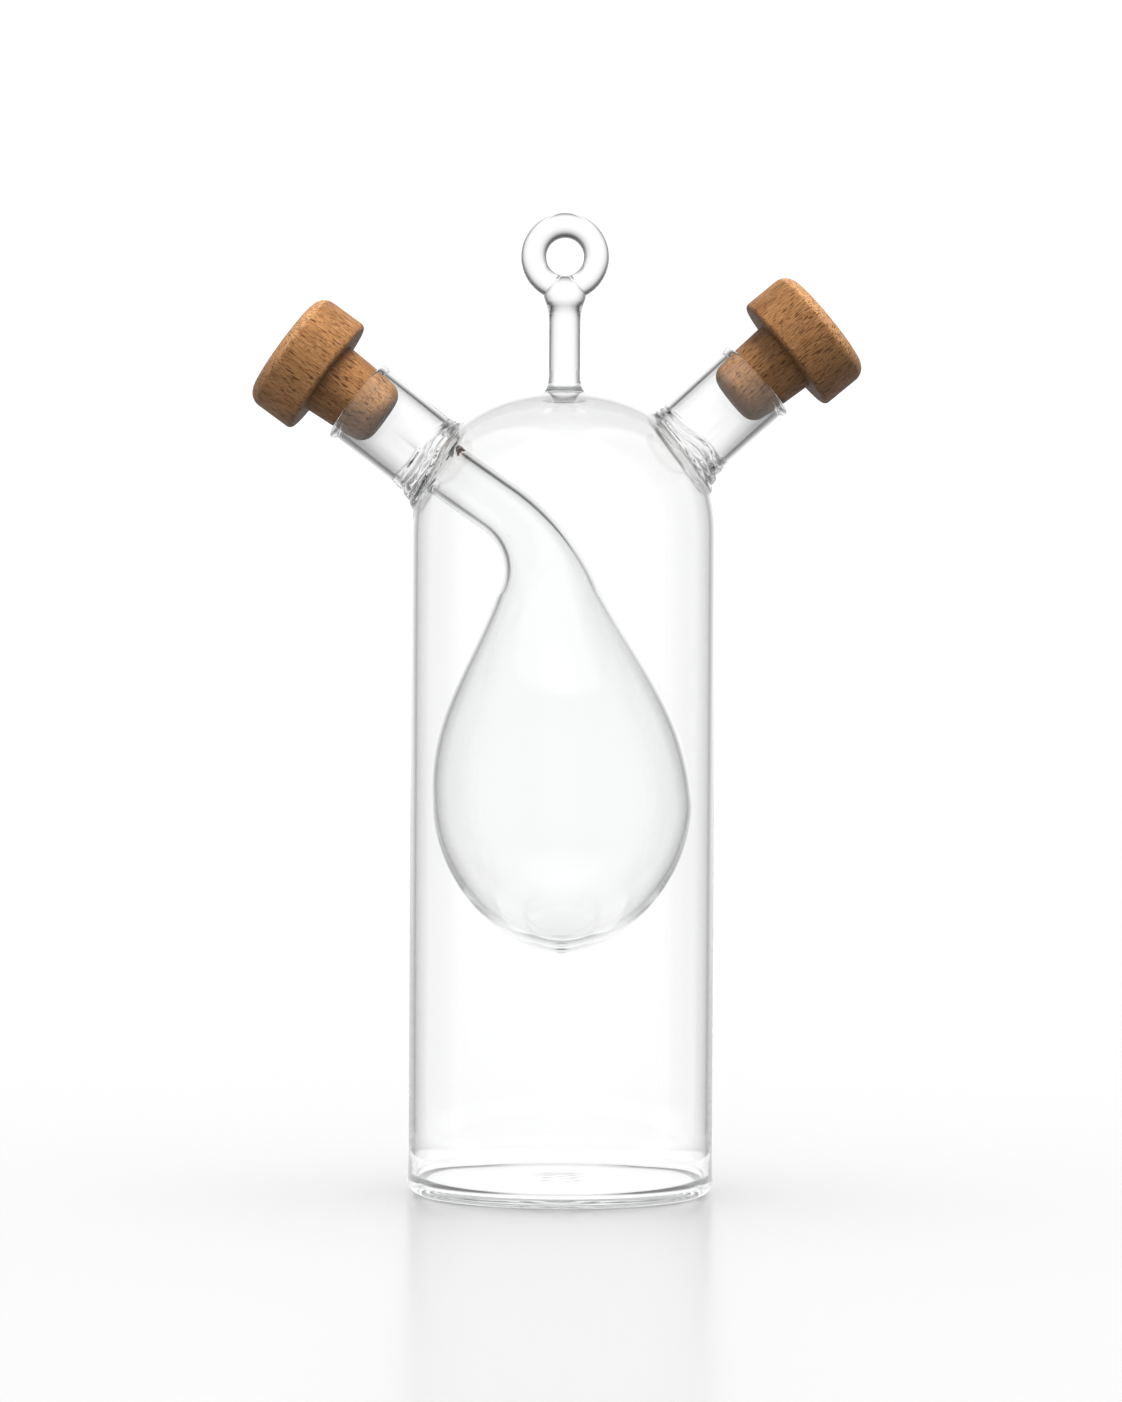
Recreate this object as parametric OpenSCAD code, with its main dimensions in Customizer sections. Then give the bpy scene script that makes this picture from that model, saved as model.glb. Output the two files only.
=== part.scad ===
// Two-in-one oil and vinegar cruet of blown glass, with turned wooden stoppers.
// The bottle stands on z = 0 with its axis on Z. The neck of the inner vessel points to -X.

/* [Bottle] */
// Outside radius of the bottle's straight wall
body_r = 30; // [28:0.5:32]
// Height at which the straight wall turns into the dome
shoulder_z = 130; // [120:1:140]
// Height of the dome above the straight wall
dome_h = 28.4; // [26:0.2:31]
// Squareness of the dome's curve, where 2 is an ellipse
dome_power = 2.2; // [2:0.1:2.4]
// Thickness of the bottle's wall
body_wall = 1.15; // [0.9:0.05:1.5]
// Thickness of the bottle's floor
floor_t = 2; // [1.6:0.1:3]
// Outside rounding of the heel
heel_r = 3; // [2.6:0.1:4]
// How far the heel swells past the straight wall
heel_swell = 0.2; // [0.05:0.05:0.4]
// Height at which the heel's swelling has run out
heel_top = 8; // [6:0.5:12]
// Rise of the floor's hollow underside at the centre
kick_h = 0.6; // [0.2:0.1:1.2]
// Inside radius of the flat foot
foot_in_r = 20; // [14:0.5:23]

/* [Necks] */
// Radius of the bore that takes a stopper
neck_bore_r = 7.1; // [6.6:0.1:7.6]
// Thickness of a neck's wall
neck_wall = 1.25; // [1:0.05:1.5]
// How far the melted rim stands out round a mouth
rim_bead = 0.4; // [0.2:0.05:0.6]
// Slope of the left neck above the level
left_neck_slope = 38; // [34:0.5:44]
// Slope of the right neck above the level
right_neck_slope = 42.7; // [38:0.1:46]
// Length of the left neck's axis outside the dome
left_neck_len = 18.85; // [16:0.05:24]
// Length of the right neck's axis outside the dome
right_neck_len = 19.15; // [16:0.05:24]
// Place of the left neck on the dome's curve, in degrees up from the shoulder
left_weld_at = 30.3; // [28:0.1:34]
// Place of the right neck on the dome's curve, in degrees up from the shoulder
right_weld_at = 38.1; // [34:0.1:42]
// How far the weld swells past a neck's wall
weld_swell = 0.5; // [0.3:0.05:0.8]
// How far the weld spreads over the dome
weld_spread = 2.2; // [1.6:0.1:2.8]
// How far the weld reaches up a neck
weld_up = 3.2; // [2.4:0.1:4.5]
// Depth to which the weld runs down over the dome
weld_down = 3.4; // [3:0.1:3.8]

/* [Inner vessel] */
// Clear gap between the vessel's belly and the bottle's wall
belly_gap = 3.35; // [2.6:0.05:5]
// Depth of the vessel's widest place below the bottle's shoulder
belly_drop = 53.5; // [50:0.5:58]
// Depth of the vessel's bowl below its widest place
bowl_depth = 29.2; // [26:0.2:32]
// Fullness of the bowl's curve, where 2 is an ellipse
bowl_power = 1.83; // [1.7:0.01:2.1]
// Outside radius of the vessel's own neck
vessel_neck_r = 5.5; // [5.1:0.1:5.9]
// Wall of the vessel at its neck
vessel_neck_wall = 1.2; // [0.9:0.05:1.4]
// Wall of the vessel at its belly
vessel_wall = 0.8; // [0.6:0.05:1.2]
// Glass left at the bottom tip of the bowl
tip_wall = 2; // [1.4:0.1:3]
// Slope of the vessel's own neck below the level
entry_slope = 35; // [33:0.5:40]
// Radius of the bend in the vessel's neck
bend_r = 23; // [18:0.5:26]
// Lean of the vessel's body below the bend
vessel_lean = 4.2; // [2:0.1:5]
// Share of the vessel's length at which its neck begins to widen
widen_at = 0.15; // [0.05:0.01:0.2]
// Depth below the dome at which the vessel joins its neck
vessel_seat = 4.55; // [4.4:0.05:5.5]

/* [Hanging ring] */
// Radius of the solid stem
stem_r = 3.1; // [2.6:0.1:3.6]
// How far the stem's melted foot spreads past the stem
foot_swell = 1.4; // [0.8:0.1:2]
// Height of the stem's melted foot
foot_h = 3.4; // [1.6:0.1:4]
// How far the joint of stem and ring swells past the stem
joint_swell = 1.15; // [0.6:0.05:1.6]
// Length of stem that widens into the joint
joint_h = 8; // [5:0.5:12]
// Height of the ring's centre above the dome
ring_rise = 26.7; // [24:0.1:30]
// Radius of the ring, to the middle of its rod
ring_mid_r = 6.2; // [5.6:0.1:7]
// Radius of the ring's rod
ring_rod_r = 2.5; // [2.2:0.1:2.8]

/* [Stoppers] */
// Radius of a stopper's head
head_r = 12.55; // [11:0.05:14]
// Thickness of a stopper's head
head_t = 10.85; // [8:0.05:14]
// Rounding of the head's top edge
head_top_round = 3; // [2:0.1:4]
// Rounding of the head's lower edge
head_low_round = 1; // [0.6:0.1:2.5]
// Length of shank that shows between the head and a rim
shank_show = 6.9; // [4:0.1:10]
// Length of shank inside a neck
shank_in = 6.9; // [5:0.1:9]
// Taper of the shank, from its axis
shank_taper = 3.4; // [3.2:0.1:4.5]
// Rounding of the shank's end
shank_round = 3; // [2:0.1:4]
// Clear gap round the shank where it enters a mouth
stopper_gap = 0.05; // [0.03:0.01:0.1]
// How far the left stopper droops from its neck's axis
left_droop = 2; // [0:0.5:2.5]
// How far the right stopper droops from its neck's axis
right_droop = 3; // [0:0.5:3]

/* [Hidden] */

left = -1;
right = 1;
glass = [0.84, 0.91, 0.9, 0.4];
light_wood = [0.72, 0.5, 0.31];
round_fn = 96;
arc_steps = 6;
dome_steps = 16;
vessel_sides = 36;
vessel_neck_steps = 30;
bowl_steps = 12;
cut_len = 14;
weld_in = 0.4;

body_in_r = body_r - body_wall;
dome_in_h = dome_h - body_wall;
dome_top = shoulder_z + dome_h;
heel_in_r = heel_r - body_wall / 2;
neck_r = neck_bore_r + neck_wall;
rim_h = 3 * rim_bead;
funnel_at = body_wall + 0.6;

belly_r = body_in_r - belly_gap;
belly_z = shoulder_z - belly_drop;
vessel_bore_r = vessel_neck_r - vessel_neck_wall;

ring_z = dome_top + ring_rise;
joint_z = ring_z - ring_mid_r;
stem_foot_r = stem_r + foot_swell;

shank_mouth_r = neck_bore_r - stopper_gap;
shank_top_r = shank_mouth_r + shank_show * tan(shank_taper);
shank_end_r = shank_mouth_r - shank_in * tan(shank_taper);

// An arc as points, about the centre c
function arc(c, r, from, to, steps = arc_steps) =
    [for (i = [0:steps]) let (a = from + (to - from) * i / steps) c + r * [cos(a), sin(a)]];

// A point of a quarter oval: a is its radius, b its height, and n its squareness
function oval(a, b, n, t) = [a * pow(cos(t), 2 / n), b * pow(sin(t), 2 / n)];

// The dome as points from the shoulder to the top
function dome(a, b) =
    [for (i = [0:dome_steps])
        i == dome_steps
            ? [0, shoulder_z + b]
            : [0, shoulder_z] + oval(a, b, dome_power, 90 * i / dome_steps)];

outer_profile = concat(
    [[0, kick_h], [foot_in_r, 0]],
    arc([body_r + heel_swell - heel_r, heel_r], heel_r, -90, 0),
    [[body_r, heel_top]],
    dome(body_r, dome_h));

inner_profile = concat(
    [[0, kick_h + floor_t], [foot_in_r, floor_t]],
    arc([body_in_r - heel_in_r, floor_t + heel_in_r], heel_in_r, -90, 0),
    dome(body_in_r, dome_in_h));

module outer_form() rotate_extrude($fn = round_fn) polygon(outer_profile);

module inner_form() rotate_extrude($fn = round_fn) polygon(inner_profile);

// Where a neck's axis leaves the dome
function weld_point(side, at) =
    let (p = oval(body_r, dome_h, dome_power, at)) [side * p[0], 0, shoulder_z + p[1]];

// Stands children on a neck's axis, with z = 0 at the dome and +Z out of the neck
module on_neck(side, at, slope)
    translate(weld_point(side, at)) rotate([0, side * (90 - slope), 0]) children();

module on_left_neck() on_neck(left, left_weld_at, left_neck_slope) children();

module on_right_neck() on_neck(right, right_weld_at, right_neck_slope) children();

module outer_bottle() {
    color(glass) difference() {
        outer_form();
        inner_form();
        on_left_neck() cylinder(h = 2 * cut_len, r = neck_r, center = true, $fn = round_fn);
        on_right_neck() cylinder(h = 2 * cut_len, r = neck_r, center = true, $fn = round_fn);
    }
}

// A neck's outside from its melted rim down to the weld that spreads over the dome
function neck_profile(len) = concat(
    [[0, len], [neck_bore_r + neck_wall / 2, len]],
    arc([neck_r, len - rim_h / 2], rim_bead, 80, -60),
    [[neck_r, len - 2 * rim_h],
     [neck_r, weld_up],
     [neck_r - 0.6 * weld_swell, 0.72 * weld_up],
     [neck_r + 0.6 * weld_swell, 0.47 * weld_up],
     [neck_r + weld_swell, 0.25 * weld_up],
     [neck_r + weld_swell, 0],
     [neck_r + 0.35 * weld_spread, -0.35 * weld_down],
     [neck_r + 0.6 * weld_spread, -0.7 * weld_down],
     [neck_r + weld_spread, -weld_down],
     [neck_r + weld_spread, -2 * weld_down],
     [0, -2 * weld_down]]);

// A neck before it is bored: the tube and weld outside the dome, and the plug through its wall
module neck_blank(side, at, slope, len) {
    difference() {
        on_neck(side, at, slope) rotate_extrude($fn = round_fn) polygon(neck_profile(len));
        outer_form();
    }
    difference() {
        on_neck(side, at, slope) translate([0, 0, weld_in - cut_len])
            cylinder(h = cut_len, r = neck_r, $fn = round_fn);
        inner_form();
    }
}

// The left neck closes in to the smaller neck of the inner vessel
module left_neck() {
    color(glass) difference() {
        union() {
            neck_blank(left, left_weld_at, left_neck_slope, left_neck_len);
            on_left_neck() rotate_extrude($fn = round_fn) polygon([
                [0, -vessel_seat],
                [vessel_neck_r, -vessel_seat],
                [neck_r - weld_in, -funnel_at],
                [neck_r - weld_in, 0],
                [0, 0]]);
        }
        on_left_neck() rotate_extrude($fn = round_fn) polygon([
            [0, -vessel_seat - weld_in],
            [vessel_bore_r, -vessel_seat - weld_in],
            [vessel_bore_r, -vessel_seat + weld_in],
            [neck_bore_r, -funnel_at],
            [neck_bore_r, left_neck_len + weld_in],
            [0, left_neck_len + weld_in]]);
    }
}

module right_neck() {
    color(glass) difference() {
        neck_blank(right, right_weld_at, right_neck_slope, right_neck_len);
        on_right_neck() translate([0, 0, -cut_len])
            cylinder(h = cut_len + right_neck_len + weld_in, r = neck_bore_r, $fn = round_fn);
    }
}

// The vessel's centre line, in the XZ plane: straight out of the neck, round a bend, then down
seat_tilt = 90 - left_neck_slope;
entry_tilt = 90 - entry_slope;
entry_dir = [sin(entry_tilt), -cos(entry_tilt)];
body_dir = [sin(vessel_lean), -cos(vessel_lean)];
weld_at_left = weld_point(left, left_weld_at);
entry_at = [weld_at_left[0], weld_at_left[2]] + vessel_seat * [sin(seat_tilt), -cos(seat_tilt)];
belly_at = [0, belly_z];
to_belly = belly_at - entry_at;
corner_dist = (to_belly[0] * body_dir[1] - to_belly[1] * body_dir[0])
    / (entry_dir[0] * body_dir[1] - entry_dir[1] * body_dir[0]);
bend_turn = entry_tilt - vessel_lean;
bend_reach = bend_r * tan(bend_turn / 2);
entry_len = corner_dist - bend_reach;
bend_len = bend_r * bend_turn * PI / 180;
bend_at = entry_at + entry_len * entry_dir - bend_r * [cos(entry_tilt), sin(entry_tilt)];
body_len = norm(belly_at - entry_at - corner_dist * entry_dir) - bend_reach;
vessel_len = entry_len + bend_len + body_len;

function line_tilt(s) =
    s == 0 ? seat_tilt
    : s < entry_len ? entry_tilt
    : s < entry_len + bend_len ? entry_tilt - (s - entry_len) / bend_len * bend_turn
    : vessel_lean * (vessel_len - s) / body_len;

function line_at(s) =
    s < entry_len ? entry_at + s * entry_dir
    : s < entry_len + bend_len ? bend_at + bend_r * [cos(line_tilt(s)), sin(line_tilt(s))]
    : belly_at - (vessel_len - s) * body_dir;

// Rises from 0 to 1 as the vessel widens from its neck to its belly
function widen(u) =
    let (v = max(0, (u - widen_at) / (1 - widen_at)))
    (v * v * (3 - 2 * v) + v * v * v * (10 - 15 * v + 6 * v * v)) / 2;

function vessel_ring(at, tilt, r) =
    [for (k = [0:vessel_sides - 1])
        let (a = 360 * k / vessel_sides)
        [at[0] + r * cos(a) * cos(tilt), r * sin(a), at[1] + r * cos(a) * sin(tilt)]];

// One skin of the vessel, from its seat to its tip, which is the last point
function vessel_skin(neck_r, wide_r, deep) = concat(
    [for (i = [0:vessel_neck_steps - 1])
        let (u = i / vessel_neck_steps, s = u * vessel_len)
        each vessel_ring(line_at(s), line_tilt(s), neck_r + (wide_r - neck_r) * widen(u))],
    [for (i = [0:bowl_steps - 1])
        let (p = oval(wide_r, deep, bowl_power, 90 * i / bowl_steps))
        each vessel_ring([belly_at[0], belly_z - p[1]], 0, p[0])],
    [[belly_at[0], 0, belly_z - deep]]);

vessel_rings = vessel_neck_steps + bowl_steps;
skin_size = vessel_rings * vessel_sides + 1;

// The faces of one skin, whose points begin at the index base
function skin_faces(base) = [
    for (i = [0:vessel_rings - 1], k = [0:vessel_sides - 1])
        let (
            a = base + i * vessel_sides + k,
            b = base + i * vessel_sides + (k + 1) % vessel_sides,
            tip = base + skin_size - 1)
        i < vessel_rings - 1 ? [a, b, b + vessel_sides, a + vessel_sides] : [a, b, tip]];

function turned(faces) = [for (f = faces) [for (i = [len(f) - 1:-1:0]) f[i]]];

seat_faces = [
    for (k = [0:vessel_sides - 1])
        let (next = (k + 1) % vessel_sides)
        [k, skin_size + k, skin_size + next, next]];

module inner_vessel() {
    color(glass) polyhedron(
        points = concat(
            vessel_skin(vessel_neck_r, belly_r, bowl_depth),
            vessel_skin(vessel_bore_r, belly_r - vessel_wall, bowl_depth - tip_wall)),
        faces = concat(skin_faces(0), turned(skin_faces(skin_size)), seat_faces),
        convexity = 6);
}

module hanging_ring() {
    color(glass) union() {
        difference() {
            rotate_extrude($fn = round_fn) polygon([
                [0, dome_top - foot_h],
                [stem_foot_r, dome_top - foot_h],
                [stem_foot_r, dome_top],
                [stem_r + 0.4 * foot_swell, dome_top + 0.2 * foot_h],
                [stem_r + 0.12 * foot_swell, dome_top + 0.5 * foot_h],
                [stem_r, dome_top + foot_h],
                [stem_r, joint_z - joint_h],
                [stem_r + 0.17 * joint_swell, joint_z - 0.7 * joint_h],
                [stem_r + 0.6 * joint_swell, joint_z - 0.4 * joint_h],
                [stem_r + joint_swell, joint_z - 0.2 * joint_h],
                [stem_r + 0.8 * joint_swell, joint_z],
                [stem_r - 0.3 * joint_swell, joint_z + 0.4 * ring_rod_r],
                [0, joint_z + 0.65 * ring_rod_r]]);
            outer_form();
        }
        translate([0, 0, ring_z]) rotate([90, 0, 0])
            rotate_extrude($fn = round_fn) translate([ring_mid_r, 0]) circle(r = ring_rod_r, $fn = 48);
    }
}

// A stopper in one piece, with z = 0 at the rim of its neck
module stopper() {
    rotate_extrude($fn = round_fn) polygon(concat(
        [[0, -shank_in]],
        arc([shank_end_r - shank_round, shank_round - shank_in], shank_round, -90, 0),
        [[shank_mouth_r, 0], [shank_top_r, shank_show]],
        arc([head_r - head_low_round, shank_show + head_low_round], head_low_round, -90, 0),
        arc([head_r - head_top_round, shank_show + head_t - head_top_round], head_top_round, 0, 90),
        [[0, shank_show + head_t]]));
}

module left_stopper() {
    color(light_wood) on_left_neck() translate([0, 0, left_neck_len])
        rotate([0, left * left_droop, 0]) stopper();
}

module right_stopper() {
    color(light_wood) on_right_neck() translate([0, 0, right_neck_len])
        rotate([0, right * right_droop, 0]) stopper();
}

outer_bottle();
left_neck();
right_neck();
inner_vessel();
hanging_ring();
left_stopper();
right_stopper();
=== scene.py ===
from math import atan2, cos, hypot, pi, radians, sin, tan

import bpy
from mathutils import Matrix, Vector, noise


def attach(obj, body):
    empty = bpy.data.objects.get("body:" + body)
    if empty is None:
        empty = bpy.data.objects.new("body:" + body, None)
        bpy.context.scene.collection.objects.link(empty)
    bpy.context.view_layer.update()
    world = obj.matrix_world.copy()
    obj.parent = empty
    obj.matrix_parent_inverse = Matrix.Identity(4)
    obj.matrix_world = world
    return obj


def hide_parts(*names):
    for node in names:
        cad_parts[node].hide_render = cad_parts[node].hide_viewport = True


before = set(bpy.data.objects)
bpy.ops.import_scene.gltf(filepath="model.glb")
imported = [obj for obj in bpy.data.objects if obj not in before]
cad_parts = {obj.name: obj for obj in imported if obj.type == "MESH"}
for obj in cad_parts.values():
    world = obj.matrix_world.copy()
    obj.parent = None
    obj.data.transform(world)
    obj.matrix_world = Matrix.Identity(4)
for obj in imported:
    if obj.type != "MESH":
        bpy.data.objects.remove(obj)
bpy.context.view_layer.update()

# The view. The photograph is taken level with the bottle's middle, from about 0.87 m, and its
# camera leans by a third of a degree. One pixel of it is 0.1977 mm at the bottle's axis.
MM = 0.001
photo_h = 1402
pixel = 0.1977 * MM
camera_far = 874 * MM
camera_up = 97.3 * MM
axis_off_centre = 1.7 * pixel
camera_lean = radians(0.315)

bpy.ops.object.camera_add(
    location=(-axis_off_centre, -camera_far, camera_up), rotation=(pi / 2, -camera_lean, 0))
camera = bpy.context.object
camera.name = "camera"
camera.data.lens = camera.data.sensor_width * camera_far / (photo_h * pixel)
bpy.context.scene.camera = camera
bpy.context.view_layer.update()

# The studio. A white room lights everything evenly, and clear glass needs many bounces.
room_light = 1.13
bounces = 40

world = bpy.data.worlds.new("white_room")
bpy.context.scene.world = world
world.use_nodes = True
world.node_tree.nodes["Background"].inputs["Color"].default_value = (1, 1, 1, 1)
world.node_tree.nodes["Background"].inputs["Strength"].default_value = room_light
world.cycles.sampling_method = "NONE"
bpy.context.scene.view_settings.view_transform = "Standard"
bpy.context.scene.cycles.max_bounces = bounces
bpy.context.scene.cycles.transmission_bounces = bounces
bpy.context.scene.cycles.glossy_bounces = bounces

# The tents. Clear glass shows by what it bends into view: a close cloth that is dark at its
# sides, open at the back and white under the bottle with a ring of painted contact shadow under
# its heel, and a larger one with a white roof. Only the glass sees them, and they turn with the
# camera, as if set up again for each side.
near_r = 80 * MM
near_h = 168 * MM
near_sink = 0.3 * MM

# Where the close cloth is open, and the tones, by the angle in degrees from straight behind.
near_open = (15, 19)
near_tone = [
    (0, 1), (18, 1), (22, 0.97), (29, 0.84), (34, 0.66), (38, 0.5), (43, 0.33), (50, 0.18),
    (60, 0.1), (70, 0.3), (85, 0.55), (115, 0.6), (180, 0.6)]
foot_r = 60 * MM
# Painted contact shadow: a grey ring in the white foot under the bottle's heel, darker at the
# sides.
foot_shadow_ring = (28.3 * MM, 30.6 * MM)
foot_shadow_soft = 1 * MM
foot_shadow_side = (6 * MM, 17 * MM)
foot_shade = 0.85
foot_edge = 2 * MM
far_r = 620 * MM
far_rise = 1.45
far_tone = [
    (0, 1), (14, 1), (20, 0.97), (26, 0.93), (32, 0.86), (38, 0.73), (45, 0.5), (50, 0.28),
    (55, 0.1), (60, 0.03), (72, 0.02), (85, 0.3), (115, 0.55), (180, 0.6)]
roof_light = 0.7
roof_ahead = (0.42, 0.8)
roof_up = (0.12, 0.32)
roof_half_w = 0.8
roof_soft = 0.2
tent_light = 1.08


class Value:
    """A shader socket in sums: the operators on it add Math nodes."""

    def __init__(self, maker, socket):
        self.maker = maker
        self.socket = socket

    def math(self, operation, *others):
        return self.maker.add("ShaderNodeMath", {"operation": operation}, [self, *others])

    def __add__(self, other):
        return self.math("ADD", other)

    def __radd__(self, other):
        return self.math("ADD", other)

    def __sub__(self, other):
        return self.math("SUBTRACT", other)

    def __rsub__(self, other):
        return self.maker.add("ShaderNodeMath", {"operation": "SUBTRACT"}, [other, self])

    def __mul__(self, other):
        return self.math("MULTIPLY", other)

    def __rmul__(self, other):
        return self.math("MULTIPLY", other)

    def __pow__(self, other):
        return self.math("POWER", other)

    def between(self, low, high):
        """Rises smoothly from 0 to 1 as the value goes from low to high."""
        return self.maker.add(
            "ShaderNodeMapRange", {"interpolation_type": "SMOOTHSTEP"},
            {"Value": self, "From Min": low, "From Max": high})


class Finish:
    """A material and the one method that adds any node to it."""

    def __init__(self, name):
        self.material = bpy.data.materials.new(name)
        self.material.use_nodes = True
        self.nodes = self.material.node_tree.nodes
        self.links = self.material.node_tree.links
        self.nodes.clear()
        self.output = self.nodes.new("ShaderNodeOutputMaterial")

    def link(self, value, socket):
        if isinstance(value, Value):
            self.links.new(value.socket, socket)
        elif value is not None:
            socket.default_value = value

    def add(self, kind, settings=None, values=(), output=0):
        node = self.nodes.new(kind)
        for name, setting in (settings or {}).items():
            if name == "stops":
                ramp = node.color_ramp.elements
                while len(ramp) < len(setting):
                    ramp.new(0.5)
                for element, (at, tone) in zip(ramp, setting):
                    element.position = at
                    element.color = (tone, tone, tone, 1)
            else:
                setattr(node, name, setting)
        named = values.items() if isinstance(values, dict) else enumerate(values)
        for key, value in named:
            self.link(value, node.inputs[key])
        return Value(self, node.outputs[output])

    def place(self):
        """Where a point lies in the object's own frame."""
        return self.add("ShaderNodeTexCoord", output="Object")

    def mix(self, share, first, second):
        """Goes from the first colour to the second as share goes from 0 to 1."""
        return self.add("ShaderNodeMix", {"data_type": "RGBA"}, {0: share, 6: first, 7: second}, 2)

    def surface(self, shader, volume=None):
        self.links.new(shader.socket, self.output.inputs["Surface"])
        if volume is not None:
            self.links.new(volume.socket, self.output.inputs["Volume"])


def turn_with_camera(thing, tilt):
    """Keeps a thing turned as the camera is, and tilted like it if tilt is True."""
    turn = thing.constraints.new("COPY_ROTATION")
    turn.target = camera
    turn.use_x = turn.use_y = tilt


def hang(cloth, name, near, height, tones):
    """Puts a tent up, with its tones and with the part of it that is left open."""
    cloth.name = name
    cloth.location = (0, 0, height)
    turn_with_camera(cloth, not near)
    cloth.visible_camera = False
    cloth.visible_diffuse = False
    cloth.visible_glossy = False
    cloth.visible_shadow = False
    finish = Finish(name)
    place = finish.add("ShaderNodeSeparateXYZ", {}, [finish.place()])
    x, y, z = (Value(finish, socket) for socket in place.socket.node.outputs)
    if near:
        aside, ahead = x.math("ABSOLUTE"), y
    else:
        aside, ahead = (x * x + far_rise ** 2 * y * y) ** 0.5, z * -1
    angle = aside.math("ARCTAN2", ahead) * (1 / pi)
    tone = finish.add(
        "ShaderNodeValToRGB", {"stops": [(at / 180, tone) for at, tone in tones]}, [angle])
    shown = finish.add("ShaderNodeNewGeometry", output="Backfacing")
    if near:
        reach = (x * x + y * y) ** 0.5
        foot = (foot_r - reach).between(-foot_edge, foot_edge)
        # The painted contact shadow: a grey ring in the foot under the heel, darker towards the
        # sides.
        ring = reach.between(foot_shadow_ring[0] - foot_shadow_soft, foot_shadow_ring[0]) \
            * (foot_shadow_ring[1] - reach).between(-foot_shadow_soft, 0) \
            * (0.3 + 0.7 * aside.between(*foot_shadow_side))
        tone = tone * (1 - foot) + foot * (1 - foot_shade * ring)
        closed = angle.between(near_open[0] / 180, near_open[1] / 180).math("MAXIMUM", foot)
        shown = shown * closed
    else:
        roof = (y * (1 / far_r)).between(*roof_ahead) * (z * (1 / far_r)).between(*roof_up)
        from_side = roof_half_w - x.math("ABSOLUTE") * (1 / far_r)
        tone = tone + roof_light * roof * from_side.between(0, roof_soft)
    finish.surface(finish.add("ShaderNodeMixShader", {}, [
        shown, finish.add("ShaderNodeBsdfTransparent"),
        finish.add("ShaderNodeEmission", {}, [tone, tent_light])]))
    finish.material.cycles.emission_sampling = "NONE"
    cloth.data.materials.append(finish.material)


# The close cloth has a bottom and no top.
bpy.ops.mesh.primitive_cylinder_add(vertices=96, radius=near_r, depth=near_h)
bpy.ops.object.mode_set(mode="EDIT")
bpy.ops.mesh.select_all(action="DESELECT")
bpy.ops.object.mode_set(mode="OBJECT")
near_tent = bpy.context.object
for face in near_tent.data.polygons:
    face.select = face.normal.z > 0.5
bpy.ops.object.mode_set(mode="EDIT")
bpy.ops.mesh.delete(type="FACE")
bpy.ops.object.mode_set(mode="OBJECT")
hang(near_tent, "near_tent", True, near_h / 2 - near_sink, near_tone)
bpy.ops.mesh.primitive_uv_sphere_add(segments=64, ring_count=32, radius=far_r)
hang(bpy.context.object, "far_tent", False, camera_up, far_tone)

# The table. A plain white sheet with a slight gloss, on which the bottle stands. The glass
# sees the white foot of the close tent in its place.
table_w = 8
table_white = 0.8
table_rough = 0.24
table_shine = 0.4


def colour(red, green, blue):
    return (red, green, blue, 1)


bpy.ops.mesh.primitive_plane_add(size=table_w)
table = bpy.context.object
table.name = "table"
table_finish = Finish("white_table")
table_finish.surface(table_finish.add("ShaderNodeBsdfPrincipled", {}, {
    "Base Color": colour(table_white, table_white, table_white), "Roughness": table_rough,
    "Specular IOR Level": table_shine}))
table.data.materials.append(table_finish.material)
table.visible_transmission = False
table.visible_glossy = False

# The bottle. It is blown from one tube of clear glass: a straight wall, a domed top, and a
# heel that rolls in to a floor with a slightly hollow underside. The solid stem of the
# hanging ring is melted on to its top.
body_r = 30 * MM
shoulder_z = 130 * MM
dome_h = 28.4 * MM
dome_power = 2.2
body_wall = 1.15 * MM
floor_t = 2 * MM
heel_r = 3 * MM
heel_swell = 0.2 * MM
heel_top = 8 * MM
kick_h = 0.6 * MM
foot_in_r = 20 * MM
body_sides = 180
dome_steps = 36
floor_steps = 20
body_in_r = body_r - body_wall
dome_in_h = dome_h - body_wall
heel_in_r = heel_r - body_wall / 2
dome_top = shoulder_z + dome_h

stem_r = 3.1 * MM
stem_foot_w = 1.4 * MM
stem_foot_h = 3.4 * MM
stem_foot_sag = 0.2 * MM
ring_mid_r = 6.2 * MM
ring_rod_r = 2.5 * MM
ring_z = dome_top + 26.7 * MM
thumb_r = 4.2 * MM
thumb_z = ring_z - ring_mid_r - 1.6 * MM
thumb_top = ring_z - ring_mid_r + ring_rod_r

# How far below the thumb the stem swells, and by how much, in millimetres.
stem_swell = [(5, 0), (3.4, 0.1), (2.1, 0.4), (1, 0.8)]


def arc(centre, r, start, end, steps=10):
    """Points of an arc between two angles in degrees."""
    angles = [radians(start + (end - start) * i / steps) for i in range(steps + 1)]
    return [(centre[0] + r * cos(a), centre[1] + r * sin(a)) for a in angles]


def dome_height(r, a, b):
    """Height above the shoulder of a dome of radius a and height b, at the radius r."""
    return b * (1 - min(1, r / a) ** dome_power) ** (1 / dome_power)


def dome(a, b, end_r):
    """Points up a dome from the shoulder, as far as the radius end_r."""
    points = []
    for i in range(dome_steps + 1):
        t = radians(90 * i / dome_steps)
        r = a * max(0, cos(t)) ** (2 / dome_power)
        if r > end_r:
            points.append((r, shoulder_z + b * sin(t) ** (2 / dome_power)))
    return points


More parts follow.
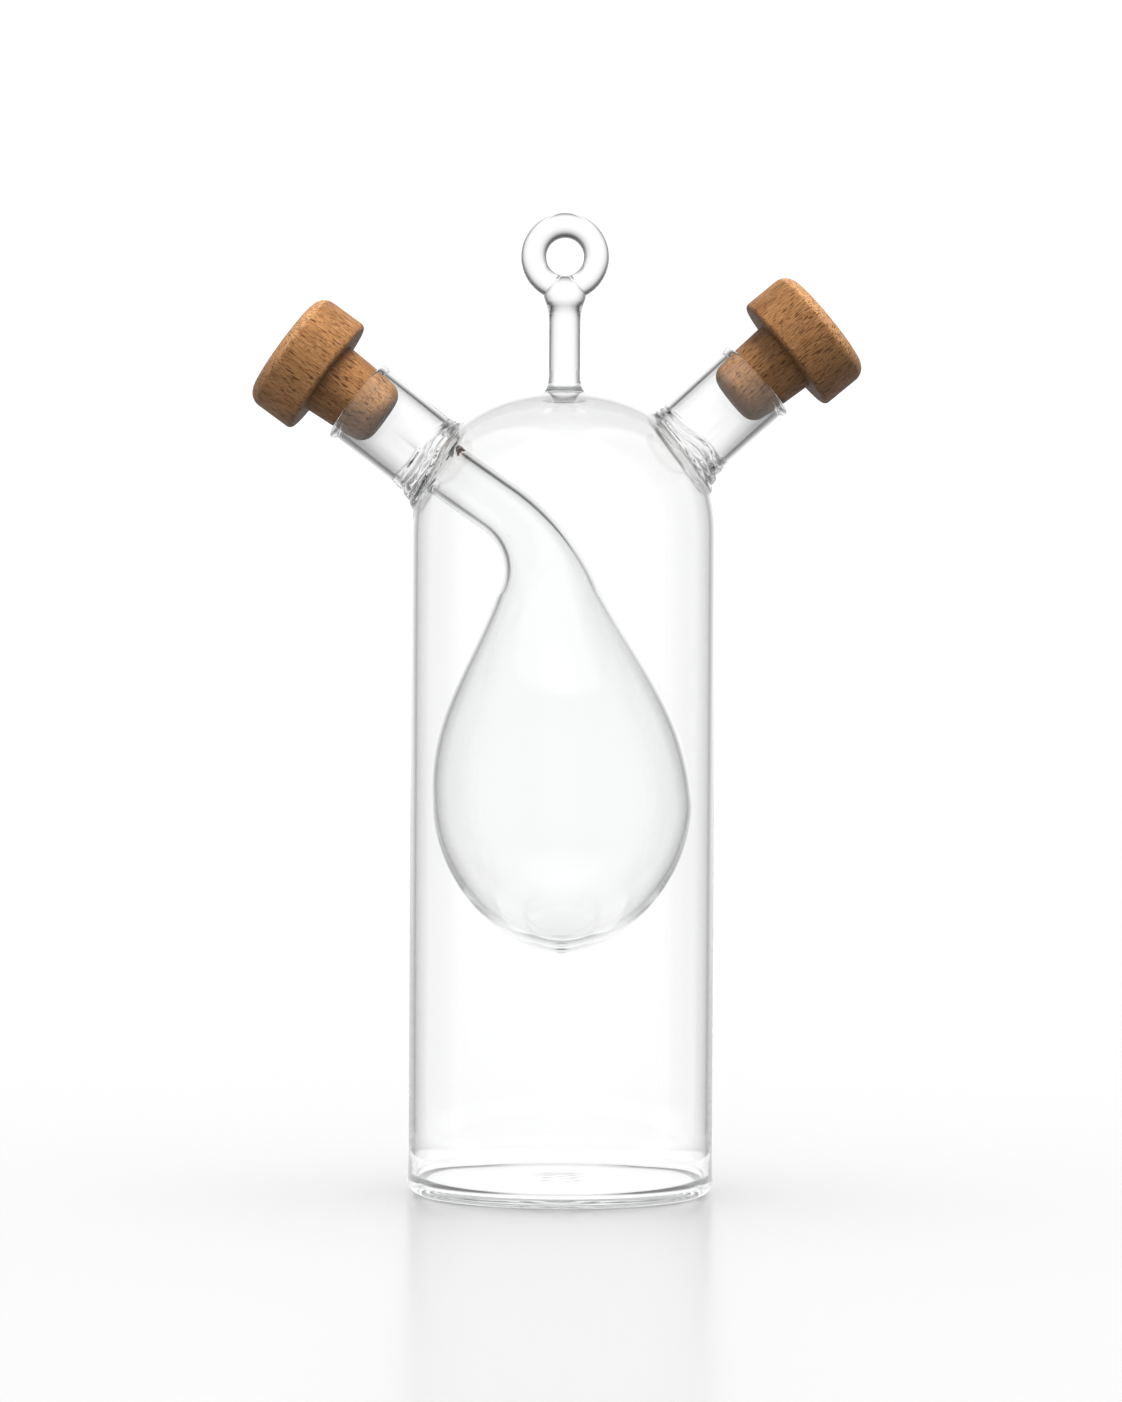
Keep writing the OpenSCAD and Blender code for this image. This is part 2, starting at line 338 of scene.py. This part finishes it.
def turned(name, profile, sides):
    """Spins (radius, height) points about Z. The first and the last lie on the axis."""
    bpy.ops.object.select_all(action="DESELECT")
    bpy.ops.mesh.primitive_plane_add(size=MM)
    piece = bpy.context.object
    piece.name = name
    bpy.ops.object.mode_set(mode="EDIT")
    bpy.ops.mesh.merge(type="CENTER")
    bpy.ops.transform.translate(value=(profile[0][0], 0, profile[0][1]))
    for (r0, z0), (r1, z1) in zip(profile, profile[1:]):
        bpy.ops.mesh.extrude_region_move(
            TRANSFORM_OT_translate={"value": (r1 - r0, 0, z1 - z0)})
    bpy.ops.mesh.select_all(action="SELECT")
    bpy.ops.mesh.spin(steps=sides, angle=2 * pi, center=(0, 0, 0), axis=(0, 0, 1))
    bpy.ops.mesh.select_all(action="SELECT")
    bpy.ops.mesh.remove_doubles(threshold=0.002 * MM)
    bpy.ops.mesh.normals_make_consistent(inside=False)
    bpy.ops.object.mode_set(mode="OBJECT")
    return piece


def carve(piece, other, operation):
    """Joins the other form to the piece, or cuts it out."""
    modifier = piece.modifiers.new(operation.lower(), "BOOLEAN")
    modifier.operation = operation
    modifier.solver = "EXACT"
    modifier.object = other
    bpy.context.view_layer.objects.active = piece
    bpy.ops.object.modifier_apply(modifier=modifier.name)
    bpy.data.objects.remove(other)


underside = [
    (foot_in_r * i / floor_steps, kick_h * (1 - (i / floor_steps) ** 2) ** 2)
    for i in range(floor_steps + 1)]
stem_foot = [
    (stem_r + stem_foot_w * (1 - sin(t)),
     shoulder_z + dome_height(stem_r + stem_foot_w * (1 - sin(t)), body_r, dome_h)
     + stem_foot_h * (1 - cos(t)))
    for t in [radians(90 * i / 12) for i in range(13)]]
stem_top = [(stem_r + out * MM, thumb_z - down * MM) for down, out in stem_swell]
thumb = [
    (thumb_r * cos(t), thumb_z + (thumb_top - thumb_z) * sin(t))
    for t in [radians(90 * i / 14) for i in range(15)]]
outside = turned("glass", [
    *underside, *arc((body_r + heel_swell - heel_r, heel_r), heel_r, -90, 0, 14),
    (body_r + 0.6 * heel_swell, heel_r + 0.35 * (heel_top - heel_r)),
    (body_r + 0.15 * heel_swell, heel_r + 0.75 * (heel_top - heel_r)), (body_r, heel_top),
    *dome(body_r, dome_h, stem_r + stem_foot_w), *stem_foot, *stem_top, *thumb], body_sides)

floor_ripple = 0.05 * MM
floor_ripple_r = 11 * MM
floor_ripple_turns = 3.5
floor_inside = [
    (r, floor_t + kick_h * (1 - (r / foot_in_r) ** 2) ** 2
     + floor_ripple * max(0, 1 - r / floor_ripple_r)
     * cos(2 * pi * floor_ripple_turns * r / floor_ripple_r))
    for r in [foot_in_r * i / floor_steps for i in range(floor_steps + 1)]]
dome_crown = [
    (r, shoulder_z + dome_height(r, body_in_r, dome_in_h))
    for r in [5 * MM * (1 - i / 10) for i in range(11)]]
inside = turned("inside", [
    *floor_inside, *arc((body_in_r - heel_in_r, floor_t + heel_in_r), heel_in_r, -90, 0, 14),
    *[(r, z - stem_foot_sag * max(0, 1 - (r / (stem_r + stem_foot_w)) ** 2) ** 2)
      for r, z in [*dome(body_in_r, dome_in_h, 5.5 * MM), *dome_crown]]], body_sides)

# The hanging ring. A solid rod of the same glass is bent round to a ring and melted on to
# the stem's swollen end.
ring_sides = 96
rod_sides = 40

bpy.ops.object.select_all(action="DESELECT")
bpy.ops.mesh.primitive_torus_add(
    location=(0, 0, ring_z), rotation=(pi / 2, 0, 0), major_segments=ring_sides,
    minor_segments=rod_sides, major_radius=ring_mid_r, minor_radius=ring_rod_r)
ring = bpy.context.object
bpy.ops.object.transform_apply(location=True, rotation=True, scale=True)
carve(outside, ring, "UNION")

# The necks. Each is a short tube with a melted, beaded rim. Its foot is fused to the dome
# with a torch, which leaves wavy ridges in the glass and a soft fillet that is wide below
# the neck and narrow above it.
neck_bore_r = 7.1 * MM
neck_wall = 1.25 * MM
neck_r = neck_bore_r + neck_wall
left_neck_slope = 38
left_neck_len = 18.85 * MM
left_weld_at = 30.3
right_neck_slope = 42.7
right_neck_len = 19.15 * MM
right_weld_at = 38.1
neck_sides = 144
bead_r = 0.84 * MM
bead_in = 0.32 * MM
bead_down = 0.85 * MM
bead_h = 2 * MM
bead_uneven = 0.35
weld_top = 2.9 * MM
weld_spread = 1.9 * MM
weld_uneven = 0.55
weld_top_uneven = 0.25
weld_rings = 52
weld_step = 0.05 * MM
weld_sink = 0.12 * MM
weld_deep = 1.5 * MM
ridge_turns = 3.8
ridge_h = 0.38 * MM
right_bore_top = 0.8 * MM
right_bore_spread = 1.1 * MM
right_bore_ridge = 0.2 * MM
dome_search = (-14 * MM, 6 * MM)
halvings = 24


class Neck:
    """Where a neck stands on the dome. Its own +Z points out of the neck."""

    def __init__(self, side, at, slope, length):
        t = radians(at)
        self.side = side
        self.length = length
        self.place = Matrix.Translation((
            side * body_r * cos(t) ** (2 / dome_power), 0,
            shoulder_z + dome_h * sin(t) ** (2 / dome_power),
        )) @ Matrix.Rotation(side * (pi / 2 - radians(slope)), 4, "Y")

    def dome_at(self, x, y, a, b):
        """Height on the neck's axis at which a line beside it passes through a dome."""
        low, high = dome_search
        for _ in range(halvings):
            middle = (low + high) / 2
            p = self.place @ Vector((x, y, middle))
            up = max(0, p.z - shoulder_z)
            within = (hypot(p.x, p.y) / a) ** dome_power + (up / b) ** dome_power < 1
            low, high = (middle, high) if within else (low, middle)
        return low


left_neck = Neck(-1, left_weld_at, left_neck_slope, left_neck_len)
right_neck = Neck(1, right_weld_at, right_neck_slope, right_neck_len)


def ridges(angle, t, depth, seed):
    """Height of the torch's wavy ridges, t of the way down a weld."""
    ahead = Vector((1.1 * cos(angle), 1.1 * sin(angle), seed))
    bend = noise.noise(ahead)
    swell = 0.8 + 0.6 * noise.noise(ahead * 1.3 + Vector((9, 0, 0)))
    wave = 2 * abs(sin(pi * (ridge_turns * t + 1.1 * bend) + seed)) - 1.2
    return depth * wave * swell * sin(pi * min(1, max(0, t))) ** 0.6


def weld_codes(top, r):
    """Rings that stand for a weld until melt gives them their place, below the height top."""
    return [(r, top - (i + 1) * weld_step) for i in range(weld_rings + 1)]


def melt(piece, neck, top, r, spread, a, b, depth, seed, way=1):
    """Lets the rings of weld_codes flow from a tube of radius r on to a dome."""
    for vertex in piece.data.vertices:
        x, y, z = vertex.co
        step = round((top - z) * way / weld_step)
        if not 1 <= step <= weld_rings + 1 or hypot(x, y) < 0.5 * r:
            continue
        angle = atan2(y, x)
        low_side = neck.side * cos(angle)
        width = spread * (1 + weld_uneven * low_side)
        tube_top = top * (1 + weld_top_uneven * low_side) if way > 0 else top
        t = min(1, step / weld_rings)
        turn = t * pi / 2
        rise = tube_top - neck.dome_at(r * cos(angle), r * sin(angle), a, b) + way * weld_sink
        out = r + width * (1 - cos(turn))
        up = neck.dome_at(out * cos(angle), out * sin(angle), a, b)
        up += rise * (1 - sin(turn)) - way * weld_sink
        lift = ridges(angle, t, depth, seed)
        out += lift * cos(turn)
        up += way * lift * sin(turn)
        if step > weld_rings:
            up -= way * weld_deep
        vertex.co = (out * cos(angle), out * sin(angle), up)


def stand(piece, neck):
    """Puts a form that is drawn on a neck's own axis in its place on the bottle."""
    for vertex in piece.data.vertices:
        vertex.co = neck.place @ vertex.co


def neck_outside(neck, seed):
    """A neck as a full rod, with its beaded rim, its weld and its ridges."""
    length = neck.length
    piece = turned("neck", [
        (0, length), (neck_bore_r + 0.45 * MM, length), (neck_r - 0.3 * MM, length - 0.02 * MM),
        *arc((neck_r - bead_in, length - bead_down), bead_r, 80, -52, 12),
        (neck_r + 0.07 * MM, length - 1.7 * MM), (neck_r, length - 2.1 * MM),
        (neck_r, 0.5 * length), (neck_r, weld_top), *weld_codes(weld_top, neck_r),
        (0, -9 * MM)], neck_sides)
    melt(piece, neck, weld_top, neck_r, weld_spread, body_r, dome_h, ridge_h, seed)
    for vertex in piece.data.vertices:
        x, y, z = vertex.co
        out = hypot(x, y) - neck_r
        if out > 0 and z > length - bead_h:
            grow = 1 + bead_uneven * neck.side * x / hypot(x, y) * out / neck_r
            vertex.co = (x * grow, y * grow, z)
    stand(piece, neck)
    return piece


def lip(length):
    """The rounded inner edge of a rim, as points of a bore's outline."""
    return [
        (0, length + 0.6 * MM), (neck_bore_r + 0.8 * MM, length + 0.6 * MM),
        (neck_bore_r + 0.42 * MM, length), (neck_bore_r + 0.2 * MM, length - 0.22 * MM),
        (neck_bore_r + 0.06 * MM, length - 0.5 * MM), (neck_bore_r, length - 0.85 * MM)]


carve(outside, neck_outside(left_neck, 3.0), "UNION")
carve(outside, neck_outside(right_neck, 11.0), "UNION")

right_bore = turned("bore", [
    *lip(right_neck.length), (neck_bore_r, 0.5 * right_neck.length), (neck_bore_r, right_bore_top),
    *weld_codes(right_bore_top, neck_bore_r), (0, -12 * MM)], neck_sides)
melt(right_bore, right_neck, right_bore_top, neck_bore_r, right_bore_spread, body_in_r,
     dome_in_h, right_bore_ridge, 5.0)
stand(right_bore, right_neck)
carve(inside, right_bore, "UNION")

# The inner vessel. The left neck narrows into a bent neck of its own inside the bottle, which
# hangs there free and widens to a thin-walled pear with a round bottom, drawn off to a tip.
belly_r = body_in_r - 3.35 * MM
belly_z = shoulder_z - 53.5 * MM
bowl_depth = 29.2 * MM
bowl_power = 1.83
vessel_neck_r = 5.5 * MM
vessel_bore_r = 4.3 * MM
vessel_wall = 0.8 * MM
tip_wall = 2 * MM
entry_slope = radians(35)
bend_r = 23 * MM
vessel_lean = radians(4.2)
widen_at = 0.15
vessel_seat = 4.55 * MM
seat_ease = 2 * MM
flare_spread = 1.5 * MM
flare_ridge = -0.07 * MM
bore_ridge = 0.14 * MM
nub_h = 0.22 * MM
nub_r = 1.6 * MM
vessel_sides = 128
vessel_steps = 64
bowl_steps = 28

seat_tilt = pi / 2 - radians(left_neck_slope)
entry_tilt = pi / 2 - entry_slope
entry_dir = Vector((sin(entry_tilt), 0, -cos(entry_tilt)))
body_dir = Vector((sin(vessel_lean), 0, -cos(vessel_lean)))
entry_at = left_neck.place @ Vector((0, 0, -vessel_seat))
belly_at = Vector((0, 0, belly_z))
to_belly = belly_at - entry_at
corner = (to_belly.x * body_dir.z - to_belly.z * body_dir.x) \
    / (entry_dir.x * body_dir.z - entry_dir.z * body_dir.x)
bend_turn = entry_tilt - vessel_lean
bend_reach = bend_r * tan(bend_turn / 2)
entry_len = corner - bend_reach
bend_len = bend_r * bend_turn
bend_at = entry_at + entry_len * entry_dir - bend_r * Vector((cos(entry_tilt), 0, sin(entry_tilt)))
body_len = (belly_at - entry_at - corner * entry_dir).length - bend_reach
vessel_len = entry_len + bend_len + body_len


def vessel_line(s):
    """The vessel's centre line and its tilt, s below its seat."""
    if s < entry_len:
        start = min(1, s / seat_ease)
        return entry_at + s * entry_dir, seat_tilt + (entry_tilt - seat_tilt) * start
    if s < entry_len + bend_len:
        tilt = entry_tilt - (s - entry_len) / bend_len * bend_turn
        return bend_at + bend_r * Vector((cos(tilt), 0, sin(tilt))), tilt
    if s < vessel_len:
        return belly_at - (vessel_len - s) * body_dir, vessel_lean * (vessel_len - s) / body_len
    return belly_at - Vector((0, 0, s - vessel_len)), 0


def widen(u):
    """Rises from 0 to 1 as the vessel widens from its neck to its belly."""
    v = max(0, (u - widen_at) / (1 - widen_at))
    return (v * v * (3 - 2 * v) + v ** 3 * (10 - 15 * v + 6 * v * v)) / 2


def pear(start_r, wide_r, deep, nub=0):
    """Outline of one skin of the vessel below its seat, as if its line were straight."""
    points = []
    for i in range(1, vessel_steps):
        u = i / vessel_steps
        points.append((start_r + (wide_r - start_r) * widen(u), -vessel_seat - u * vessel_len))
    for i in range(bowl_steps):
        t = radians(90 * i / bowl_steps)
        points.append((
            wide_r * cos(t) ** (2 / bowl_power),
            -vessel_seat - vessel_len - deep * sin(t) ** (2 / bowl_power)))
    tip = -vessel_seat - vessel_len - deep
    if nub:
        points = [(r, z) for r, z in points if r > nub_r]
        points += [(1.3 * MM, tip), (0.9 * MM, tip - 0.75 * nub), (0.5 * MM, tip - nub)]
    return [*points, (0, tip - nub)]


def bend_vessel(piece):
    """Bends a skin of the vessel along its centre line. What is above its seat stays straight."""
    for vertex in piece.data.vertices:
        x, y, z = vertex.co
        if z > -vessel_seat:
            vertex.co = left_neck.place @ vertex.co
        else:
            at, tilt = vessel_line(-vessel_seat - z)
            vertex.co = (at.x + x * cos(tilt), y, at.z + x * sin(tilt))


flare_top = -vessel_seat - 0.2 * MM
flare_codes = [
    (vessel_neck_r, flare_top + (i + 1) * weld_step) for i in range(weld_rings, -1, -1)]
vessel_outside = turned("vessel_outside", [
    (0, 2 * MM), *flare_codes, *pear(vessel_neck_r, belly_r, bowl_depth, nub_h)], vessel_sides)
melt(vessel_outside, left_neck, flare_top, vessel_neck_r, flare_spread, body_in_r, dome_in_h,
     flare_ridge, 7.0, -1)
bend_vessel(vessel_outside)
carve(inside, vessel_outside, "DIFFERENCE")

# Its bore starts at the neck's, and closes in smoothly to the throat.
throat_from = -0.6 * MM
throat_steps = 26
throat = []
for i in range(throat_steps + 1):
    share = i / throat_steps
    smooth = share * share * (3 - 2 * share)
    throat.append((
        neck_bore_r + (vessel_bore_r - neck_bore_r) * smooth,
        throat_from + (-vessel_seat - throat_from) * share))
bore_top = 2.4 * MM
bore_rings = [(neck_bore_r, bore_top + (throat_from - bore_top) * i / 14) for i in range(14)]
vessel_inside = turned("vessel_inside", [
    *lip(left_neck.length), (neck_bore_r, 0.5 * left_neck.length), *bore_rings, *throat,
    *pear(vessel_bore_r, belly_r - vessel_wall, bowl_depth - tip_wall)], vessel_sides)
for vertex in vessel_inside.data.vertices:
    x, y, z = vertex.co
    if -vessel_seat < z < bore_top and hypot(x, y) > MM:
        share = (bore_top - z) / (bore_top + vessel_seat)
        grow = 1 + ridges(atan2(y, x), share, bore_ridge, 17.0) / hypot(x, y)
        vertex.co = (x * grow, y * grow, z)
bend_vessel(vessel_inside)

carve(outside, inside, "DIFFERENCE")
carve(outside, vessel_inside, "DIFFERENCE")
glass = outside
glass.name = "blown_glass"

# The glass itself. Clear and lamp-blown, it shows its faint grey-green only where it is looked
# at along the wall, and its surface has the slow waves that blowing leaves.
glass_smooth = 40


def dress(piece, material, smooth):
    """Gives a piece its material, and smooths the edges flatter than smooth degrees."""
    bpy.ops.object.select_all(action="DESELECT")
    piece.select_set(True)
    bpy.context.view_layer.objects.active = piece
    bpy.ops.object.shade_smooth_by_angle(angle=radians(smooth))
    piece.data.materials.clear()
    piece.data.materials.append(material)


glass_finish = Finish("clear_glass")
waves = glass_finish.add(
    "ShaderNodeTexNoise", {}, {
        "Vector": glass_finish.add(
            "ShaderNodeMapping", {}, {"Vector": glass_finish.place(), "Scale": (1, 1, 0.3)}),
        "Scale": 55, "Detail": 2, "Roughness": 0.4}, "Fac")
glass_normal = glass_finish.add(
    "ShaderNodeBump", {}, {"Strength": 0.3, "Distance": 0.05 * MM, "Height": waves}, "Normal")
glass_tone = glass_finish.mix(waves, colour(0.985, 0.99, 0.987), colour(0.995, 0.997, 0.996))
glass_finish.surface(
    glass_finish.add("ShaderNodeBsdfPrincipled", {}, {
        "Base Color": glass_tone, "Roughness": 0, "IOR": 1.47, "Transmission Weight": 1,
        "Normal": glass_normal}),
    glass_finish.add(
        "ShaderNodeVolumeAbsorption", {}, {"Color": colour(0.62, 0.67, 0.64), "Density": 5}))
dress(glass, glass_finish.material, glass_smooth)
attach(glass, "cruet")
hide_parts("outer_bottle", "left_neck", "right_neck", "inner_vessel", "hanging_ring")

# The stoppers. Each is turned from one piece of mid-brown hardwood, grain along its axis: a
# thick head with rounded edges and a tapered shank that wedges in the neck. They are oiled,
# and the open pores show as dark dashes on the sides and as dots on the ends.
head_r = 12.55 * MM
head_t = 10.85 * MM
head_top_round = 3 * MM
head_low_round = 1 * MM
shank_show = 6.9 * MM
shank_in = 6.9 * MM
shank_taper = tan(radians(3.4))
shank_round = 3 * MM
shank_mouth_r = neck_bore_r - 0.05 * MM
shank_end_r = shank_mouth_r - shank_in * shank_taper
left_droop = 2
right_droop = 3
stopper_sides = 128
stopper_smooth = 35

wood_low = colour(0.075, 0.033, 0.011)
wood_high = colour(0.125, 0.06, 0.022)
ring_tone = colour(0.055, 0.023, 0.006)
fibre_tone = colour(0.175, 0.093, 0.043)
fleck_tone = colour(0.2, 0.112, 0.053)
# Painted shade: the dark tone that makes the right stopper a darker copy of the same wood.
shade_copy_tone = colour(0.045, 0.019, 0.006)
# Painted highlight: the light tone of the head's top rounding.
edge_light_tone = colour(0.28, 0.16, 0.08)
# Painted light: the lighter tone given to the plug inside the neck.
plug_light_tone = colour(0.4, 0.22, 0.1)
line_tone = colour(0.05, 0.021, 0.007)
fine_pore_tone = colour(0.045, 0.018, 0.006)
pore_tone = colour(0.022, 0.009, 0.003)
# How far below the head's top the painted highlight reaches.
edge_light_depth = 2.2 * MM
# How far the right stopper is darkened towards that tone: painted shade.
right_shade_copy = 0.28


def wood_finish(name, axis, across, middle, seed, darker):
    """Turned hardwood whose grain runs along the stopper's axis, in lengths of 1 mm."""
    wood = Finish(name)
    place = wood.place()

    def along(direction):
        off = wood.add("ShaderNodeVectorMath", {"operation": "SUBTRACT"}, [place, middle])
        return wood.add(
            "ShaderNodeVectorMath", {"operation": "DOT_PRODUCT"}, [off, direction],
            "Value") * (1 / MM)

    x, y, z = along(across), along((0, 1, 0)), along(axis)

    def grain(sx, sy, sz, **values):
        spot = wood.add("ShaderNodeCombineXYZ", {}, [x * sx + seed, y * sy, z * sz])
        named = {key.title(): value for key, value in values.items()}
        return wood.add("ShaderNodeTexNoise", {}, {"Vector": spot, "Scale": 1, **named}, "Fac")

    figure = grain(0.16, 0.16, 0.035, detail=3, roughness=0.55)
    fibre = grain(2.6, 2.6, 0.16, detail=4, roughness=0.65)
    year = grain(0.1, 0.42, 0.012, detail=2, roughness=0.5)
    rings = ((year * 26).math("SINE") * 0.5 + 0.5) ** 1.6
    fleck = grain(1.1, 1.1, 0.3, detail=2, roughness=0.6).between(0.58, 0.7)
    pores = grain(3.9, 3.9, 0.5, detail=2, roughness=0.5, distortion=0.5).between(0.575, 0.64)
    lines = 1 - (grain(0.8, 0.8, 0.13, detail=3, roughness=0.5, distortion=0.8) - 0.5) \
        .math("ABSOLUTE").between(0, 0.03)
    fine_pores = grain(6.5, 6.5, 1.1, detail=1, roughness=0.5).between(0.54, 0.68)
    # Painted highlight: the head within 2.2 mm of its top, where the rounding catches the light.
    edge = (z - (shank_show + head_t - edge_light_depth) / MM).between(0, 0.6)

    tone = wood.mix(figure.between(0.3, 0.72), wood_low, wood_high)
    tone = wood.mix(rings * 0.35, tone, ring_tone)
    tone = wood.mix(fibre.between(0.35, 0.75) * 0.45, tone, fibre_tone)
    tone = wood.mix(fleck * 0.25, tone, fleck_tone)
    # Painted shade: the whole stopper is mixed towards a dark tone by darker.
    tone = wood.mix(darker, tone, shade_copy_tone)
    # The painted highlight lightens the head's top rim.
    tone = wood.mix(edge * 0.3, tone, edge_light_tone)
    # Painted light: the plug below the rim is lightened, standing in for light reaching it through
    # the glass.
    tone = wood.mix((0 - z).between(0, 0.5) * 0.1, tone, plug_light_tone)
    tone = wood.mix(lines * 0.55, tone, line_tone)
    tone = wood.mix(fine_pores * 0.5, tone, fine_pore_tone)
    tone = wood.mix(pores * 0.92, tone, pore_tone)
    depth = fibre * 0.35 - pores * 1.6 - fine_pores * 0.5 - rings * 0.15
    normal = wood.add(
        "ShaderNodeBump", {}, {"Strength": 0.5, "Distance": 0.12 * MM, "Height": depth}, "Normal")
    wood.surface(wood.add("ShaderNodeBsdfPrincipled", {}, {
        "Base Color": tone, "Roughness": 0.5 + 0.2 * fibre + pores * 0.2,
        "Specular IOR Level": 0.15, "Normal": normal}))
    return wood.material


def stopper(name, node, body, neck, droop, seed, darker):
    """A stopper in its neck, in place of a CAD node and on a body."""
    piece = turned(name, [
        (0, -shank_in), (0.5 * (shank_end_r - shank_round), -shank_in),
        *arc((shank_end_r - shank_round, shank_round - shank_in), shank_round, -90, 3, 12),
        (shank_mouth_r - 0.35 * shank_in * shank_taper, -0.35 * shank_in), (shank_mouth_r, 0),
        (shank_mouth_r + 0.5 * shank_show * shank_taper, 0.5 * shank_show),
        (shank_mouth_r + shank_show * shank_taper, shank_show),
        *arc((head_r - head_low_round, shank_show + head_low_round), head_low_round, -90, 0),
        *arc((head_r - head_top_round, shank_show + head_t - head_top_round), head_top_round,
             0, 90, 14),
        (0.5 * head_r, shank_show + head_t), (0, shank_show + head_t)], stopper_sides)
    lean = neck.place @ Matrix.Translation((0, 0, neck.length)) \
        @ Matrix.Rotation(neck.side * radians(droop), 4, "Y")
    for vertex in piece.data.vertices:
        vertex.co = lean @ vertex.co
    turn = lean.to_3x3()
    material = wood_finish(
        name + "_wood", tuple(turn @ Vector((0, 0, 1))), tuple(turn @ Vector((1, 0, 0))),
        tuple(lean.translation), seed, darker)
    dress(piece, material, stopper_smooth)
    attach(piece, body)
    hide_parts(node)
    return piece


stoppers = [
    stopper(
        "left_wood_stopper", "left_stopper", "left_stopper", left_neck, left_droop, 4.0, 0.0),
    stopper(
        "right_wood_stopper", "right_stopper", "right_stopper", right_neck, right_droop, 41.0,
        right_shade_copy)]

# The lamps. A large soft lamp above gives the wood its lit and its shaded side, and weak ones in
# front and at the left fill the shade. They light only the wood, from a stand that turns with the
# camera as the tents do.

# Each has a name, a place and a size in metres, and a power in watts.
lamps = [
    ("lamp_above", (0.14, -0.22, 0.75), 0.35, 23), ("lamp_in_front", (0, -0.6, 0.3), 0.4, 3.4),
    ("lamp_at_left", (-0.5, -0.3, 0.3), 0.35, 1.2)]
lamp_aim = Vector((0, 0, 0.15))

bpy.ops.object.empty_add()
stand_of_lamps = bpy.context.object
stand_of_lamps.name = "stand_of_lamps"
turn_with_camera(stand_of_lamps, False)
lit = bpy.data.collections.new("lit_by_the_lamps")
for piece in stoppers:
    lit.objects.link(piece)
for name, place, size, power in lamps:
    bpy.ops.object.light_add(type="AREA", location=place)
    lamp = bpy.context.object
    lamp.name = name
    lamp.parent = stand_of_lamps
    lamp.data.shape = "DISK"
    lamp.data.size = size
    lamp.data.energy = power
    lamp.rotation_euler = (lamp_aim - lamp.location).to_track_quat("-Z", "Y").to_euler()
    lamp.visible_camera = False
    lamp.visible_transmission = False
    lamp.visible_glossy = False
    lamp.light_linking.receiver_collection = lit
    lamp.light_linking.blocker_collection = lit
